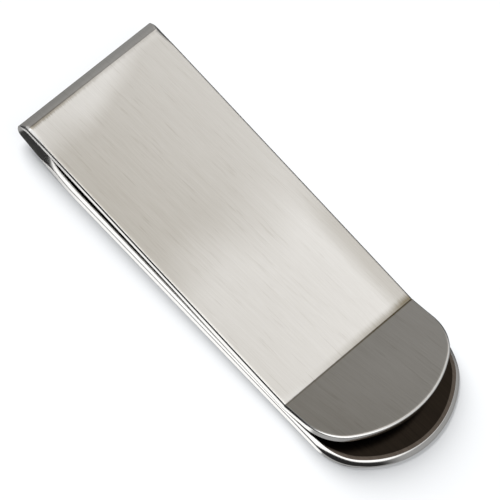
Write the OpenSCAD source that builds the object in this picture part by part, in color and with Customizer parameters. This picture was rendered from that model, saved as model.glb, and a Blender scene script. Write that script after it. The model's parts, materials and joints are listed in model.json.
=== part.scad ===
// Money clip: one strip of spring steel folded flat on itself like a hairpin.
// X runs from the fold to the round end, Y across the strip, Z up from the back leaf.
// The clip lies on its back leaf; the origin is the middle of its footprint, at the base.
// All sizes are in millimetres and all angles in degrees.

/* [Strip] */
// Width of the strip
strip_w = 20; // [16:0.5:24]
// Thickness of the strip
strip_t = 0.8; // [0.7:0.02:0.82]
// Rounding of the strip's long edges
edge_r = 0.3; // [0.1:0.05:0.3]

/* [Fold] */
// Outer radius of the hairpin bend
bend_r = 0.95; // [0.93:0.01:1.4]
// Height of the bend's centre above the base
bend_z = 1.94; // [1.9:0.02:2.6]
// Rise of the lower leaf towards the fold
ramp_deg = 8.2; // [6:0.1:20]
// Fall of the front leaf towards the grip
lean_deg = 1.8; // [0:0.05:1.85]

/* [Leaves] */
// Overall length, from the fold to the back leaf's tip
clip_len = 52.5; // [50:0.1:60]
// Distance from the fold to the crease of the front leaf
crease_x = 39.9; // [30:0.1:40]
// Length of the back leaf's round end
back_end = 7.5; // [6.5:0.1:9]
// Radius of that end's two corners
back_corner = 6; // [3:0.1:6.2]

/* [Thumb lip] */
// Length of the lip beyond the crease
lip_len = 9.6; // [8:0.1:12]
// Rise of the lip above the horizontal
lip_deg = 10.8; // [0:0.1:20]
// Length of the lip's round end
lip_end = 6.6; // [5.6:0.1:8]
// Radius of that end's two corners
lip_corner = 5.2; // [3:0.1:5.3]

/* [Hidden] */
$fn = 96;
steel = [0.74, 0.73, 0.71];

// Point where the front leaf's outer face leaves the bend, measured from the fold
top_x = bend_r + bend_r * sin(lean_deg);
top_z = bend_z + bend_r * cos(lean_deg);
// Length of the front leaf's outer face, and its height at the crease
front_len = (crease_x - top_x) / cos(lean_deg);
crease_z = top_z - front_len * sin(lean_deg);
// Point where the lower leaf's outer face leaves the bend
low_x = bend_r - bend_r * sin(ramp_deg);
low_z = bend_z - bend_r * cos(ramp_deg);
// Length of the ramp, and where it meets the flat of the back leaf
ramp_len = low_z / sin(ramp_deg);
flat_x = low_x + ramp_len * cos(ramp_deg);
big = 4 * clip_len;
arc_steps = 14;

// Cross-section of the strip: outer face on top at y = 0, edges rounded.
module section() {
    core = strip_w - 2 * edge_r;
    translate([-core / 2, -strip_t]) square([core, strip_t]);
    translate([-strip_w / 2, edge_r - strip_t]) square([strip_w, strip_t - 2 * edge_r]);
    for (s = [-1, 1], z = [-edge_r, edge_r - strip_t])
        translate([s * core / 2, z]) circle(r = edge_r);
}

// Straight length of strip along +X, upper face at z = 0.
module straight(length) {
    rotate([90, 0, 90]) linear_extrude(length) section();
}

// Points along an arc, without its last one.
function arc(x, y, r, from, to) = [
    for (i = [0 : arc_steps - 1])
        let (a = from + (to - from) * i / arc_steps) [x + r * cos(a), y + r * sin(a)]
];

// Radius of the shallow crown that joins two corner arcs over a given length of round end.
function crown_r(end_len, corner_r) =
    (pow(end_len, 2) + pow(strip_w / 2 - corner_r, 2) - pow(corner_r, 2))
    / (2 * (end_len - corner_r));

// Outline of a leaf along +X: straight sides, two corner arcs and a shallow crown.
module leaf_outline(length, end_len, corner_r) {
    crown = crown_r(end_len, corner_r);
    side_x = length - end_len;
    corner_y = strip_w / 2 - corner_r;
    turn = atan2(corner_y, crown - end_len);
    polygon(concat(
        arc(side_x, -corner_y, corner_r, -90, -turn),
        arc(length - crown, 0, crown, -turn, turn),
        arc(side_x, corner_y, corner_r, turn, 90),
        [[side_x, strip_w / 2], [-1, strip_w / 2], [-1, -strip_w / 2]]
    ));
}

// Leaf along +X, upper face at z = 0, with a round end.
module round_leaf(length, end_len, corner_r) {
    intersection() {
        straight(length + 1);
        translate([0, 0, -big / 2]) linear_extrude(big)
            leaf_outline(length, end_len, corner_r);
    }
}

// Everything on the +X side of a plane through the origin, leaning from Z by deg.
module beyond(deg) {
    rotate([0, deg, 0]) translate([0, -big / 2, -big / 2]) cube([big, big, big]);
}

// Part of the hairpin bend between two angles, counted from +X towards +Z.
module bend(from, to) {
    translate([bend_r, 0, bend_z]) rotate([90, 0, 0]) rotate([0, 0, from])
        rotate_extrude(angle = to - from)
            translate([bend_r, 0]) rotate([0, 0, -90]) section();
}

// Moves a shape from fold coordinates to the clip's own frame.
module place() {
    translate([-clip_len / 2, 0, 0]) children();
}

// Flat leaf that lies against the notes and on the table, with the round end.
module back_leaf() {
    color(steel) place() translate([flat_x, 0, 0]) mirror([0, 0, 1])
        intersection() {
            translate([-strip_t, 0, 0]) round_leaf(clip_len - flat_x + strip_t, back_end, back_corner);
            beyond(-ramp_deg / 2);
        }
}

// Short slope that lifts the back leaf off the table towards the fold.
module ramp() {
    color(steel) place() translate([flat_x, 0, 0]) mirror([0, 0, 1]) difference() {
        rotate([0, -ramp_deg, 0]) translate([-ramp_len, 0, 0]) straight(ramp_len + strip_t);
        beyond(-ramp_deg / 2);
    }
}

// Lower half of the hairpin bend, from the fold's edge to the ramp.
module lower_bend() {
    color(steel) place() bend(180, 270 - ramp_deg);
}

// Upper half of the hairpin bend, up to the flat of the front leaf.
module upper_bend() {
    color(steel) place() bend(90 - lean_deg, 180);
}

// Flat front leaf from the bend to the crease.
module front_leaf() {
    color(steel) place() translate([crease_x, 0, crease_z]) difference() {
        rotate([0, lean_deg, 0]) translate([-front_len, 0, 0]) straight(front_len + strip_t);
        beyond((lean_deg - lip_deg) / 2);
    }
}

// Lip turned up beyond the crease, with its own round end.
module thumb_lip() {
    color(steel) place() translate([crease_x, 0, crease_z]) intersection() {
        rotate([0, -lip_deg, 0]) translate([-strip_t, 0, 0])
            round_leaf(lip_len + strip_t, lip_end, lip_corner);
        beyond((lean_deg - lip_deg) / 2);
    }
}

back_leaf();
ramp();
lower_bend();
upper_bend();
front_leaf();
thumb_lip();
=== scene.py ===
"""Looks of the money clip: one strip of stainless steel, folded flat on itself.

The strip is laid as rings along its outer face, from the back leaf round the fold to just past
the crease. The two round ends are built from their outlines.
+X runs from the fold to the round ends, +Y across the strip to the far side, and +Z up.
Lengths are in metres and angles in radians, unless a name or a comment says otherwise.
"""
import json
import math

import bmesh
import bpy
from mathutils import Matrix, Vector


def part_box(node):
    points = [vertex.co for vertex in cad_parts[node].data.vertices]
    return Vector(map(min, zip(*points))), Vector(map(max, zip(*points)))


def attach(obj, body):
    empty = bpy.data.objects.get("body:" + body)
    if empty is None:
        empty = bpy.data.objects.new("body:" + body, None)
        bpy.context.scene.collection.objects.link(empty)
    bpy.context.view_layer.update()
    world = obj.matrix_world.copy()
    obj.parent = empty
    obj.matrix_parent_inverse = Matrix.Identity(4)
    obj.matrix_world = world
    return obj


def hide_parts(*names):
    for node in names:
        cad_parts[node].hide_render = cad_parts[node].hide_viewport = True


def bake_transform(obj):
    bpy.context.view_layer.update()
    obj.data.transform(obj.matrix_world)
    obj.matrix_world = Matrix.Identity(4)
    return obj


MM = 0.001

# ---------------------------------------------------------------- sizes

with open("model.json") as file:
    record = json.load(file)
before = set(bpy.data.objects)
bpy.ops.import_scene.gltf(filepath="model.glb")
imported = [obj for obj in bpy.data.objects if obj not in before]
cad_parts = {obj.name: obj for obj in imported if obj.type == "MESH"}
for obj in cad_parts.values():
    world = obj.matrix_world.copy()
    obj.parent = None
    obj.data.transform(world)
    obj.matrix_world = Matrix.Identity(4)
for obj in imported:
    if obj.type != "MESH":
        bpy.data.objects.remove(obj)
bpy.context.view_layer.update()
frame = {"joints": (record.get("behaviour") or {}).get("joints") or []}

LEAF_LO, LEAF_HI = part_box("back_leaf")
BEND_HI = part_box("upper_bend")[1]
LIP_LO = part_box("thumb_lip")[0]
PIVOT = Vector(frame["joints"][0]["pos_m"])

HALF_W = LEAF_HI.y                       # half the strip's width
THICK = LEAF_HI.z - LEAF_LO.z            # thickness of the strip
BASE_Z = LEAF_LO.z                       # surface that the back leaf lies on
FOLD_X = PIVOT.x                         # outer line of the fold
BEND_R = BEND_HI.z - PIVOT.z             # outer radius of the hairpin bend
TIP_X = LEAF_HI.x                        # tip of the back leaf
FLAT_X = LEAF_LO.x                       # where the ramp meets the flat back leaf
CREASE_X = LIP_LO.x                      # crease of the front leaf

LEAN = math.radians(1.8)                 # fall of the front leaf towards the grip
RAMP = math.radians(8.2)                 # rise of the lower leaf towards the fold
LIP_RISE = math.radians(10.8)            # rise of the thumb lip
LIP_LEN = 9.6 * MM                       # length of the lip beyond the crease
BACK_END = (7.5 * MM, 6.0 * MM)          # length and corner radius of the back leaf's round end
LIP_END = (6.6 * MM, 5.2 * MM)           # the same for the lip
KINK_R = 14 * MM                         # outer radius where the back leaf bends up into the ramp
FACET = math.radians(11)                 # slope of the short flat between bend and front leaf
FACET_LEN = 0.32 * MM                    # length of that flat
FACET_R = 0.3 * MM                       # rounding between that flat and the front leaf
CREASE_R = 0.25 * MM                     # radius of the crease's hollow, on the outer face
BACK_SEAM = 2 * MM                       # flat of the back leaf that belongs to the fold piece
FRONT_SEAM = 0.2 * MM                    # start of the front leaf that belongs to the fold piece
LIP_SEAM = 0.4 * MM                      # start of the lip that belongs to the front leaf piece


# ---------------------------------------------------------------- edge of the strip

def edge(out_w, out_d, in_w, in_d, in_power=2.0, rim=0.03):
    """Edge of the strip, in mm: width and depth of its rounding on the outer and the inner face.

    in_power shapes the inner rounding: 2 is an ellipse and 1 a straight bevel.
    rim is the width of the line of painted shade on the inner face, beside that rounding.
    """
    return dict(out_w=out_w * MM, out_d=out_d * MM, in_w=in_w * MM, in_d=in_d * MM,
                in_power=in_power, rim=rim * MM)


# back leaf, from its round end to the ramp
BACK_TIP_EDGE = edge(0.08, 0.06, 0.52, 0.50, in_power=1.25, rim=0.42)
BACK_EDGE = edge(0.05, 0.04, 0.50, 0.24, in_power=1.2)
RAMP_EDGE = edge(0.03, 0.02, 0.66, 0.78, in_power=1.06)
# bend, on its way up and on top
BEND_EDGE = edge(0.36, 0.36, 0.30, 0.30)
TOP_EDGE = edge(0.80, 0.38, 0.34, 0.38)
# front leaf beyond the fold and at the crease, and the lip's round end
FRONT_EDGE = edge(0.36, 0.38, 0.34, 0.38)
GRIP_EDGE = edge(0.36, 0.36, 0.14, 0.12)
LIP_TIP_EDGE = edge(0.36, 0.15, 0.06, 0.05)

OUTER, EDGE, INNER, RIM = 0, 1, 2, 3     # material slots of every piece
OUT_STEPS, IN_STEPS = 10, 12             # steps round the outer and the inner rounding
SATIN_STEPS = 3                          # steps of the outer rounding that keep the face's finish
SUPPORT = 0.03 * MM                      # ring just inside the outer rounding keeps the face flat

# points from the outer face to the inner one, and the material slot of each step between them
EDGE_COUNT = OUT_STEPS + IN_STEPS + 4
BANDS = [OUTER] * (1 + SATIN_STEPS) + [EDGE] * (EDGE_COUNT - 3 - SATIN_STEPS) + [RIM]


def mix_edges(a, b, share):
    """Edge shape part of the way from a to b."""
    return {key: a[key] + (b[key] - a[key]) * share for key in a}


def smooth(x, low, high):
    """0 below low, 1 above high, and a soft S between."""
    t = min(1, max(0, (x - low) / (high - low)))
    return t * t * (3 - 2 * t)


def rounding(share, power):
    """Share of a rounding's width that is left, and of its depth that is used, part way round it."""
    t = share * math.pi / 2
    return 1 - math.sin(t) ** (2 / power), 1 - math.cos(t) ** (2 / power)


def edge_points(shape):
    """(distance in from the side, depth below the outer face) from the outer face to the inner."""
    points = []
    for i in range(OUT_STEPS + 1):
        across, down = rounding(i / OUT_STEPS, 2.0)
        points.append((shape["out_w"] * across, shape["out_d"] * down))
    for i in range(IN_STEPS, -1, -1):
        across, down = rounding(i / IN_STEPS, shape["in_power"])
        points.append((shape["in_w"] * across, THICK - shape["in_d"] * down))
    first, last = points[0], points[-1]
    return [(first[0] + SUPPORT, first[1])] + points + [(last[0] + shape["rim"], last[1])]


# ---------------------------------------------------------------- mesh helpers

MERGE_DISTANCE = 1e-7
SHARP_ANGLE = math.radians(28)           # corners above this stay sharp


def new_piece(name, bm):
    """Turns a closed bmesh into an object with smooth faces and sharp corners."""
    bmesh.ops.remove_doubles(bm, verts=bm.verts, dist=MERGE_DISTANCE)
    bmesh.ops.recalc_face_normals(bm, faces=bm.faces)
    mesh = bpy.data.meshes.new(name)
    bm.to_mesh(mesh)
    bm.free()
    for face in mesh.polygons:
        face.use_smooth = True
    mesh.set_sharp_from_angle(angle=SHARP_ANGLE)
    obj = bpy.data.objects.new(name, mesh)
    bpy.context.scene.collection.objects.link(obj)
    return obj


def set_uv(bm, uv_of):
    """Lays U along the strip and V across it, so that the shine follows the strip."""
    layer = bm.loops.layers.uv.new("strip")
    for face in bm.faces:
        for loop in face.loops:
            loop[layer].uv = uv_of[loop.vert]


# ---------------------------------------------------------------- strip laid along a path

class Path:
    """Walks along the strip's outer face in the XZ plane. The outer side is to the left."""

    def __init__(self, x, z, heading):
        self.x, self.z, self.heading, self.length = x, z, heading, 0.0
        self.stations = []
        self.mark()

    def mark(self):
        """Keeps the place, the heading and the length walked as a station."""
        self.stations.append((self.x, self.z, self.heading, self.length))

    def line(self, distance, steps=1):
        """Goes straight on."""
        for _ in range(steps):
            self.x += math.cos(self.heading) * distance / steps
            self.z += math.sin(self.heading) * distance / steps
            self.length += distance / steps
            self.mark()

    def turn(self, angle, radius, steps):
        """Follows an arc. A negative angle turns clockwise."""
        step = angle / steps
        chord = 2 * radius * math.sin(abs(step) / 2)
        for _ in range(steps):
            middle = self.heading + step / 2
            self.x += math.cos(middle) * chord
            self.z += math.sin(middle) * chord
            self.heading += step
            self.length += radius * abs(step)
            self.mark()


def strip_piece(name, stations, shape_at):
    """Closed length of strip, with one ring per station and its edge from shape_at(x, z)."""
    bm = bmesh.new()
    rings, uv_of = [], {}
    for x, z, heading, length in stations:
        across = [(HALF_W - d, depth) for d, depth in edge_points(shape_at(x, z))]
        across += [(-y, depth) for y, depth in reversed(across)]
        out = Vector((-math.sin(heading), 0, math.cos(heading)))
        ring = []
        for y, depth in across:
            vert = bm.verts.new(Vector((x, y, z)) - out * depth)
            uv_of[vert] = (length, y)
            ring.append(vert)
        rings.append(ring)
    slots = BANDS + [INNER] + BANDS[::-1] + [OUTER]
    for a, b in zip(rings, rings[1:]):
        for i, slot in enumerate(slots):
            j = (i + 1) % len(slots)
            face = bm.faces.new((a[i], a[j], b[j], b[i]))
            face.material_index = slot
    for ring in (rings[0], rings[-1]):
        bm.faces.new(ring).material_index = INNER
    set_uv(bm, uv_of)
    return new_piece(name, bm)


# ---------------------------------------------------------------- leaf with a round end

SIDE_STEPS, CORNER_STEPS, CROWN_STEPS = 12, 24, 32


def end_outline(length, end):
    """(x, y, direction of the outward normal) from the seam along one side, round and back.

    The round end is two corner arcs joined by a shallow crown.
    """
    end_len, corner_r = end
    corner_y = HALF_W - corner_r
    side_x = length - end_len
    crown = (end_len ** 2 + corner_y ** 2 - corner_r ** 2) / (2 * (end_len - corner_r))
    turn = math.atan2(corner_y, crown - end_len)
    half = []
    for i in range(SIDE_STEPS + 1):
        half.append((side_x * i / SIDE_STEPS, HALF_W, math.pi / 2))
    for i in range(1, CORNER_STEPS + 1):
        t = math.pi / 2 + (turn - math.pi / 2) * i / CORNER_STEPS
        half.append((side_x + corner_r * math.cos(t), corner_y + corner_r * math.sin(t), t))
    for i in range(1, CROWN_STEPS + 1):
        t = turn * (1 - i / CROWN_STEPS)
        half.append((length - crown + crown * math.cos(t), crown * math.sin(t), t))
    return half + [(x, -y, -t) for x, y, t in reversed(half[:-1])]


def leaf_piece(name, origin, slope, out, length, end, shape_at, seam_u):
    """Closed flat leaf with a round end, and its edge from shape_at(distance from the seam).

    It starts at origin, rises by slope towards +X, and has its outer face on the side of out.
    """
    along = Vector((math.cos(slope), 0, math.sin(slope)))
    bm = bmesh.new()
    rows, uv_of = [], {}
    for x, y, t in end_outline(length, end):
        row = []
        for d, depth in edge_points(shape_at(x)):
            px = x - d * math.cos(t)
            py = y - d * math.sin(t)
            vert = bm.verts.new(origin + along * px + Vector((0, py, 0)) - out * depth)
            uv_of[vert] = (seam_u + px, py)
            row.append(vert)
        rows.append(row)
    for a, b in zip(rows, rows[1:]):
        for i, slot in enumerate(BANDS):
            face = bm.faces.new((a[i], a[i + 1], b[i + 1], b[i]))
            face.material_index = slot
    bm.faces.new([row[0] for row in rows]).material_index = OUTER
    bm.faces.new([row[-1] for row in rows]).material_index = INNER
    bm.faces.new(rows[0] + rows[-1][::-1]).material_index = INNER
    set_uv(bm, uv_of)
    return new_piece(name, bm)


# ---------------------------------------------------------------- the strip's pieces

def fold_shape(x, z):
    """Edge from the back leaf up the ramp, round the bend and onto the front leaf."""
    if z <= PIVOT.z:
        off_ramp = smooth(x, FOLD_X + 3.4 * MM, FOLD_X + 5.8 * MM)
        return mix_edges(RAMP_EDGE, BACK_EDGE, off_ramp)
    up_bend = smooth(z, PIVOT.z, PIVOT.z + 0.8 * BEND_R)
    on_top = smooth(x, FOLD_X + 0.3 * MM, FOLD_X + 1.5 * MM)
    return mix_edges(mix_edges(RAMP_EDGE, BEND_EDGE, up_bend), TOP_EDGE, on_top)


def front_shape(x, _z):
    """Edge of the front leaf: its outer rounding is wider beside the fold."""
    past_fold = min(1, (x - FOLD_X - 1.5 * MM) / (2.0 * MM))
    near_grip = smooth(x, -5 * MM, 6 * MM)
    return mix_edges(mix_edges(TOP_EDGE, FRONT_EDGE, past_fold), GRIP_EDGE, near_grip)


def walk_fold():
    """Path along the outer face from the flat of the back leaf to the start of the front leaf."""
    path = Path(FLAT_X + BACK_SEAM, BASE_Z, math.pi)
    # bend radius that leaves room for the short flat under the top of the CAD's bend
    tight_r = BEND_R - FACET_LEN * math.sin(FACET) - FACET_R * (1 - math.cos(FACET))
    tight_r /= math.cos(FACET)
    ramp_top_x = FOLD_X + tight_r * (1 - math.sin(RAMP))
    rise = PIVOT.z - tight_r * math.cos(RAMP) - BASE_Z
    kink_x = ramp_top_x + rise / math.tan(RAMP)
    kink_reach = KINK_R * math.tan(RAMP / 2)
    path.line(path.x - kink_x - kink_reach, steps=6)
    path.turn(-RAMP, KINK_R, steps=12)
    path.line(rise / math.sin(RAMP) - kink_reach, steps=10)
    path.turn(-(math.pi - RAMP + LEAN - FACET), tight_r, steps=44)
    path.line(FACET_LEN, steps=2)
    path.turn(-FACET, FACET_R, steps=5)
    path.line(FRONT_SEAM)
    return path


def walk_front(path):
    """Takes the path on to just past the crease, with closer rings beside the fold."""
    crease_reach = CREASE_R * math.tan((LEAN + LIP_RISE) / 2)
    flat = (CREASE_X - path.x) / math.cos(LEAN) - crease_reach
    path.line(0.1 * flat, steps=8)
    path.line(0.9 * flat, steps=20)
    path.turn(LEAN + LIP_RISE, CREASE_R, steps=8)
    path.line(LIP_SEAM - crease_reach, steps=2)


def make_strip():
    """Lays the fold and the front leaf as two pieces, and gives the path for the lip to go on from."""
    path = walk_fold()
    seam = len(path.stations) - 1
    walk_front(path)
    fold = strip_piece("fold", path.stations[:seam + 1], fold_shape)
    front = strip_piece("front_leaf_blade", path.stations[seam:], front_shape)
    return fold, front, path


def make_back_leaf():
    """Back leaf from the flat beyond the ramp to its round end, outer face down."""
    length = TIP_X - FLAT_X - BACK_SEAM
    origin = Vector((FLAT_X + BACK_SEAM, 0, BASE_Z))

    def shape_at(x):
        near_tip = smooth(x, length - 8.5 * MM, length - 4.5 * MM)
        return mix_edges(BACK_EDGE, BACK_TIP_EDGE, near_tip)

    return leaf_piece("back_leaf_blade", origin, 0.0, Vector((0, 0, -1)), length, BACK_END,
                      shape_at, 0.0)


def make_lip(path):
    """Thumb lip from just past the crease to its round end, outer face up."""
    origin = Vector((path.x, 0, path.z))
    out = Vector((-math.sin(LIP_RISE), 0, math.cos(LIP_RISE)))

    def shape_at(x):
        return mix_edges(GRIP_EDGE, LIP_TIP_EDGE, smooth(x, 0.2 * MM, 5.5 * MM))

    return leaf_piece("thumb_lip_blade", origin, LIP_RISE, out, LIP_LEN - LIP_SEAM, LIP_END,
                      shape_at, path.length)


# ---------------------------------------------------------------- materials

class Nodes:
    """Short way to add and join shader nodes."""

    def __init__(self, tree):
        self.tree = tree
        tree.nodes.clear()

    def add(self, kind, **settings):
        """New node with its settings."""
        node = self.tree.nodes.new(kind)
        for key, value in settings.items():
            setattr(node, key, value)
        return node

    def link(self, a, b):
        """Joins an output to an input."""
        self.tree.links.new(a, b)

    def axes(self, vector):
        """The X, Y and Z of a vector."""
        split = self.add("ShaderNodeSeparateXYZ")
        self.link(vector, split.inputs["Vector"])
        return [split.outputs[axis] for axis in "XYZ"]

    def noise(self, vector, scale, detail, roughness):
        """Noise whose cells per metre along each axis are scale."""
        mapping = self.add("ShaderNodeMapping")
        mapping.inputs["Scale"].default_value = scale
        self.link(vector, mapping.inputs["Vector"])
        node = self.add("ShaderNodeTexNoise")
        self.link(mapping.outputs["Vector"], node.inputs["Vector"])
        node.inputs["Scale"].default_value = 1.0
        node.inputs["Detail"].default_value = detail
        node.inputs["Roughness"].default_value = roughness
        return node.outputs["Fac"]

    def ramp(self, value, low, high, out_low, out_high, soft=True):
        """Goes from out_low to out_high as value goes from low to high, and stays level beyond."""
        node = self.add("ShaderNodeMapRange")
        node.interpolation_type = "SMOOTHSTEP" if soft else "LINEAR"
        self.link(value, node.inputs["Value"])
        node.inputs["From Min"].default_value = low
        node.inputs["From Max"].default_value = high
        node.inputs["To Min"].default_value = out_low
        node.inputs["To Max"].default_value = out_high
        return node.outputs["Result"]

    def spread(self, noise, low, high):
        """Spreads a noise, which is mostly between 0.3 and 0.7, from low to high."""
        return self.ramp(noise, 0.3, 0.7, low, high, soft=False)

    def math(self, operation, *values):
        """Applies an operation to sockets or numbers, from left to right."""
        result = values[0]
        for value in values[1:]:
            node = self.add("ShaderNodeMath", operation=operation)
            for socket, part in zip(node.inputs, (result, value)):
                if isinstance(part, (int, float)):
                    socket.default_value = part
                else:
                    self.link(part, socket)
            result = node.outputs["Value"]
        return result


# noises, in cells per metre along X, Y and Z
GRAIN = (350, 9000, 350)                 # fine lines of the brushing
COARSE_GRAIN = (98, 2520, 98)            # broader lines among them
SCRATCHES = (260, 3600, 260)             # single darker lines
PATCHES = (90, 60, 90)                   # cloudiness of the steel
RAGGED = (500, 6000, 500)                # uneven ends of the painted shade bands
DRIFT = (70, 90, 70)                     # slow wander of the broad tones
GRAIN_TURN = math.radians(-3)            # small slant of the grain against the strip


def steel(name, dark, light, rough, streak=0.0, anisotropic=0.0, tone=None, fold_rough=0.0):
    """Brushed stainless steel between two tints, with the grain along the strip.

    streak is the depth of the grain. tone gives how far the tint is from dark to light, and carries
    painted light and shade.
    fold_rough is the least roughness at the fold, and fades out along the strip.
    """
    material = bpy.data.materials.new(name)
    material.use_nodes = True
    n = Nodes(material.node_tree)
    out = n.add("ShaderNodeOutputMaterial")
    shader = n.add("ShaderNodeBsdfPrincipled")
    n.link(shader.outputs["BSDF"], out.inputs["Surface"])
    shader.inputs["Metallic"].default_value = 1.0

    place = n.add("ShaderNodeTexCoord").outputs["Object"]
    turned = n.add("ShaderNodeMapping")
    turned.inputs["Rotation"].default_value = (0, 0, GRAIN_TURN)
    n.link(place, turned.inputs["Vector"])
    along = turned.outputs["Vector"]
    fine = n.noise(along, GRAIN, 3.0, 0.6)
    coarse = n.noise(along, COARSE_GRAIN, 2.0, 0.5)
    patches = n.noise(place, PATCHES, 1.0, 0.4)
    lines = n.math("ADD", n.math("MULTIPLY", fine, 0.65), n.math("MULTIPLY", coarse, 0.35))
    mottle = n.math("ADD", n.math("MULTIPLY", lines, 0.7), n.math("MULTIPLY", patches, 0.3))

    if tone:
        scratched = n.ramp(n.noise(along, SCRATCHES, 2.0, 0.6), 0.58, 0.72, 0.0, -0.18)
        share = n.math("ADD", tone(n, place), n.spread(mottle, -0.19, 0.19), scratched)
    else:
        share = n.spread(mottle, 0.0, 1.0)
    tint = n.add("ShaderNodeMix", data_type="RGBA", clamp_factor=False)
    tint.inputs["A"].default_value = (*dark, 1)
    tint.inputs["B"].default_value = (*light, 1)
    n.link(share, tint.inputs["Factor"])
    n.link(tint.outputs["Result"], shader.inputs["Base Color"])

    roughness = n.spread(mottle, rough * 0.9, rough * 1.12)
    if fold_rough:
        x = n.axes(place)[0]
        by_fold = n.ramp(x, FOLD_X + 3 * MM, FOLD_X + 16 * MM, fold_rough, 0.0)
        roughness = n.math("MAXIMUM", roughness, by_fold)
    n.link(roughness, shader.inputs["Roughness"])

    shader.inputs["Anisotropic"].default_value = anisotropic
    if anisotropic:
        shader.inputs["Anisotropic Rotation"].default_value = 0.25
        tangent = n.add("ShaderNodeTangent", direction_type="UV_MAP", uv_map="strip")
        n.link(tangent.outputs["Tangent"], shader.inputs["Tangent"])
    if streak:
        bump = n.add("ShaderNodeBump")
        bump.inputs["Strength"].default_value = 1.0
        bump.inputs["Distance"].default_value = streak
        n.link(lines, bump.inputs["Height"])
        n.link(bump.outputs["Normal"], shader.inputs["Normal"])
    return material


def painted_leaf_light(n, place):
    """Painted light and shade on the satin: 1 gives the light tint, 0 the dark one, and less is darker
    still.
    """
    x, y, _ = n.axes(place)
    ragged = n.spread(n.noise(place, RAGGED, 2.0, 0.6), -0.09 * MM, 0.09 * MM)
    ragged_x = n.math("ADD", x, ragged)
    drift = n.spread(n.noise(place, DRIFT, 1.0, 0.4), -2 * MM, 2 * MM)
    drifting_x = n.math("ADD", x, drift)

    # painted reflections: light beside the fold, darker after it, and lighter again towards the grip
    fold_side = n.ramp(drifting_x, FOLD_X + 1.2 * MM, FOLD_X + 4.0 * MM, 0.86, 0.26)
    grip_side = n.ramp(drifting_x, -9 * MM, 2 * MM, 0.0, 0.54)

    # painted light: lighter from the near side to the far side
    across = n.ramp(y, -HALF_W, HALF_W, -0.16, 0.30, soft=False)

    # painted shade on the tilted lip, and a thin line of painted shade in the crease where it starts
    lip = n.ramp(x, CREASE_X, CREASE_X + 0.15 * MM, 0.0, -0.72)
    line = n.math("MULTIPLY",
                  n.ramp(x, CREASE_X, CREASE_X + 0.08 * MM, 0.0, -0.7),
                  n.ramp(x, CREASE_X + 0.12 * MM, CREASE_X + 0.25 * MM, 1.0, 0.0))

    # painted shade over the last millimetre before the crease, darker towards the far side
    crease_shade = n.math("MULTIPLY",
                  n.ramp(ragged_x, CREASE_X - 1.0 * MM, CREASE_X, 0.0, 1.0),
                  n.ramp(y, -8 * MM, 7 * MM, 0.15, -1.3, soft=False),
                  n.ramp(x, CREASE_X, CREASE_X + 0.3 * MM, 1.0, 0.0))

    # painted shade: dark band along the short flat beside the bend, darkest on the near side
    fold_band_shade = n.math("MULTIPLY",
                  n.ramp(ragged_x, FOLD_X + 1.15 * MM, FOLD_X + 1.6 * MM, 1.0, 0.0),
                  n.ramp(y, -HALF_W, 0.5 * HALF_W, -1.3, -0.4),
                  n.ramp(x, FOLD_X + 0.9 * MM, FOLD_X + 1.1 * MM, 0.0, 1.0))

    # darker stretch along the far side, from the middle to the crease
    far_side_dark = n.math("MULTIPLY",
                  n.ramp(x, -6 * MM, 3 * MM, 0.0, 1.0),
                  n.ramp(y, 6.5 * MM, 9.2 * MM, 0.0, -0.75),
                  n.ramp(x, CREASE_X - 0.1 * MM, CREASE_X + 0.1 * MM, 1.0, 0.0))
    return n.math("ADD", fold_side, grip_side, across, lip, line, crease_shade, fold_band_shade, far_side_dark)


def satin_steel():
    """Brushed outer face of the strip, with painted reflections and shade in its tint."""
    return steel("satin_steel", (0.60, 0.565, 0.505), (0.93, 0.905, 0.862), 0.36,
                 streak=0.0012 * MM, anisotropic=0.75, tone=painted_leaf_light)


def polished_steel():
    """Rounded and bevelled edges of the strip."""
    return steel("polished_steel", (0.71, 0.70, 0.68), (0.77, 0.765, 0.75), 0.13, fold_rough=0.28)


def inside_painted_shade():
    """Inner faces, painted near-black as the shade between the leaves."""
    return steel("inside_painted_shade", (0.016, 0.012, 0.009), (0.032, 0.024, 0.017), 0.30,
                 streak=0.0005 * MM, anisotropic=0.4)


def rim_painted_shade():
    """Thin line of painted shade on the inner face, beside the edge, a little lighter than the inner
    faces.
    """
    return steel("rim_painted_shade", (0.09, 0.072, 0.058), (0.17, 0.14, 0.115), 0.35)


def floor_white():
    """Plain white table."""
    material = bpy.data.materials.new("floor_white")
    material.use_nodes = True
    shader = material.node_tree.nodes["Principled BSDF"]
    shader.inputs["Base Color"].default_value = (0.200, 0.202, 0.205, 1)
    shader.inputs["Emission Color"].default_value = (0.95, 0.975, 1.0, 1)
    shader.inputs["Emission Strength"].default_value = 0.30
    shader.inputs["Roughness"].default_value = 0.9
    shader.inputs["Specular IOR Level"].default_value = 0.0
    return material


# ---------------------------------------------------------------- stage

ROOM_LIGHT = 0.03                        # strength of the dark room round the lit surfaces


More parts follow.
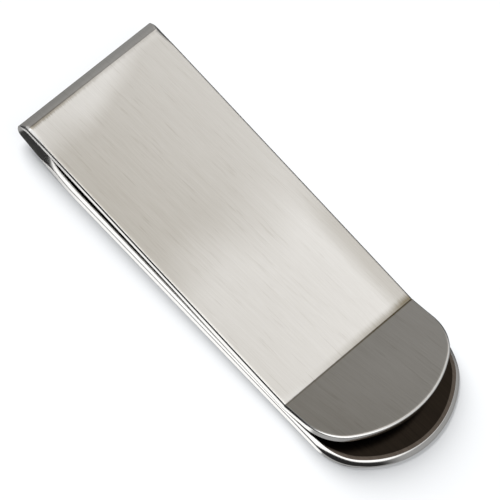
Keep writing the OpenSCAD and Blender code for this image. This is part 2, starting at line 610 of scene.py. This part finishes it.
def make_world():
    """Studio that the steel mirrors: a ceiling, a card, a wall and a table in a dark room.

    Each is a range of directions. -X is the fold's side, -Y the near side and +Z up.
    """
    world = bpy.data.worlds.new("studio")
    bpy.context.scene.world = world
    world.use_nodes = True
    n = Nodes(world.node_tree)
    out = n.add("ShaderNodeOutputWorld")
    back = n.add("ShaderNodeBackground")
    n.link(back.outputs["Background"], out.inputs["Surface"])
    x, y, z = n.axes(n.add("ShaderNodeTexCoord").outputs["Generated"])

    # ceiling, which starts higher up on the near side and is brighter there
    height = n.math("ADD", z, n.math("MULTIPLY", n.math("MINIMUM", y, 0.0), 0.45))
    ceiling = n.math("MULTIPLY",
                     n.ramp(height, 0.42, 0.56, 0.0, 1.0),
                     n.ramp(x, -0.34, -0.16, 0.0, 1.0),
                     n.ramp(y, 0.05, 0.45, 1.9, 1.0))

    # grey card on the fold's side
    card = n.math("MULTIPLY",
                  n.ramp(y, -0.8, -0.5, 0.0, 1.0),
                  n.ramp(x, -0.3, -0.15, 0.335, 0.0))

    # far wall, dark towards the fold's side
    wall = n.math("MULTIPLY",
                  n.ramp(y, -0.15, 0.2, 0.0, 1.0),
                  n.ramp(x, -0.1, 0.25, 0.1, 1.0),
                  n.ramp(z, -0.3, 0.0, 0.42, 0.5))

    # near part of the table, brightest straight in front
    table = n.math("MULTIPLY",
                   n.ramp(z, -0.1, 0.02, 1.0, 0.0),
                   n.ramp(y, -0.38, -0.25, 1.0, 0.0),
                   n.ramp(x, -0.22, -0.16, 0.0, 1.0),
                   n.ramp(x, -0.02, 0.12, 1.7, 0.55))

    # part of the table beyond the round ends
    corner = n.math("MULTIPLY",
                    n.ramp(x, 0.42, 0.52, 0.0, 0.5),
                    n.ramp(z, -0.45, -0.3, 1.0, 0.0))

    light = n.math("MAXIMUM", ROOM_LIGHT, ceiling, card, wall, table, corner)
    n.link(light, back.inputs["Strength"])


FLOOR_HALF = 2.0                         # half the side of the floor
FLOOR_GAP = 0.01 * MM                    # keeps the floor off the clip's base
KEY_FROM = Vector((-1.35, 0.25, 1.0))    # direction that the light comes from


def make_floor():
    """Table top just below the clip."""
    bm = bmesh.new()
    bmesh.ops.create_grid(bm, x_segments=1, y_segments=1, size=FLOOR_HALF)
    mesh = bpy.data.meshes.new("floor")
    bm.to_mesh(mesh)
    bm.free()
    mesh.materials.append(floor_white())
    floor = bpy.data.objects.new("floor", mesh)
    floor.location.z = -FLOOR_GAP
    floor.visible_glossy = False
    bpy.context.scene.collection.objects.link(floor)


def make_key_light():
    """Wide soft light, low on the fold's side, which draws the shadow."""
    sun = bpy.data.lights.new("key", "SUN")
    sun.energy = 16.0
    sun.angle = math.radians(38)
    key = bpy.data.objects.new("key", sun)
    key.rotation_euler = KEY_FROM.to_track_quat("Z", "Y").to_euler()
    key.visible_glossy = False
    bpy.context.scene.collection.objects.link(key)


VIEW_AZIMUTH = math.radians(15.0)        # from -Y towards +X
VIEW_ELEVATION = math.radians(58.5)
VIEW_ROLL = math.radians(33.15)          # turns the clip onto a diagonal of the picture
VIEW_DISTANCE = 683 * MM
VIEW_TARGET = Vector((-1.26, 0.86, 0)) * MM
LENS_MM, SENSOR_MM = 475, 36


def make_camera():
    """Long lens that looks down at the clip from the near side."""
    data = bpy.data.cameras.new("camera")
    data.sensor_width = SENSOR_MM
    data.lens = LENS_MM
    data.clip_start, data.clip_end = 0.05, 5
    camera = bpy.data.objects.new("camera", data)
    back = Vector((math.sin(VIEW_AZIMUTH) * math.cos(VIEW_ELEVATION),
                   -math.cos(VIEW_AZIMUTH) * math.cos(VIEW_ELEVATION),
                   math.sin(VIEW_ELEVATION)))
    level = Vector((math.cos(VIEW_AZIMUTH), math.sin(VIEW_AZIMUTH), 0))
    up = back.cross(level)
    right = level * math.cos(VIEW_ROLL) + up * math.sin(VIEW_ROLL)
    turned_up = up * math.cos(VIEW_ROLL) - level * math.sin(VIEW_ROLL)
    axes = Matrix((right, turned_up, back)).transposed()
    camera.matrix_world = Matrix.Translation(VIEW_TARGET + back * VIEW_DISTANCE) @ axes.to_4x4()
    bpy.context.scene.collection.objects.link(camera)
    bpy.context.scene.camera = camera


# ---------------------------------------------------------------- assembly

make_camera()
make_world()
make_floor()
make_key_light()
bpy.context.scene.view_settings.view_transform = "Standard"

fold_piece, front_piece, strip_path = make_strip()
back_piece = make_back_leaf()
lip_piece = make_lip(strip_path)

# in the order of OUTER, EDGE, INNER and RIM
finishes = (satin_steel(), polished_steel(), inside_painted_shade(), rim_painted_shade())
for piece, slot_name in ((fold_piece, "brushed_steel"), (back_piece, "brushed_steel"),
                         (front_piece, "satin_face"), (lip_piece, "satin_face")):
    for finish in finishes:
        piece.data.materials.append(finish)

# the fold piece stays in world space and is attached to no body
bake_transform(fold_piece)
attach(back_piece, "back")
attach(front_piece, "front")
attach(lip_piece, "front")
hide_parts("back_leaf")
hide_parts("ramp", "lower_bend", "upper_bend")
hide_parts("front_leaf")
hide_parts("thumb_lip")
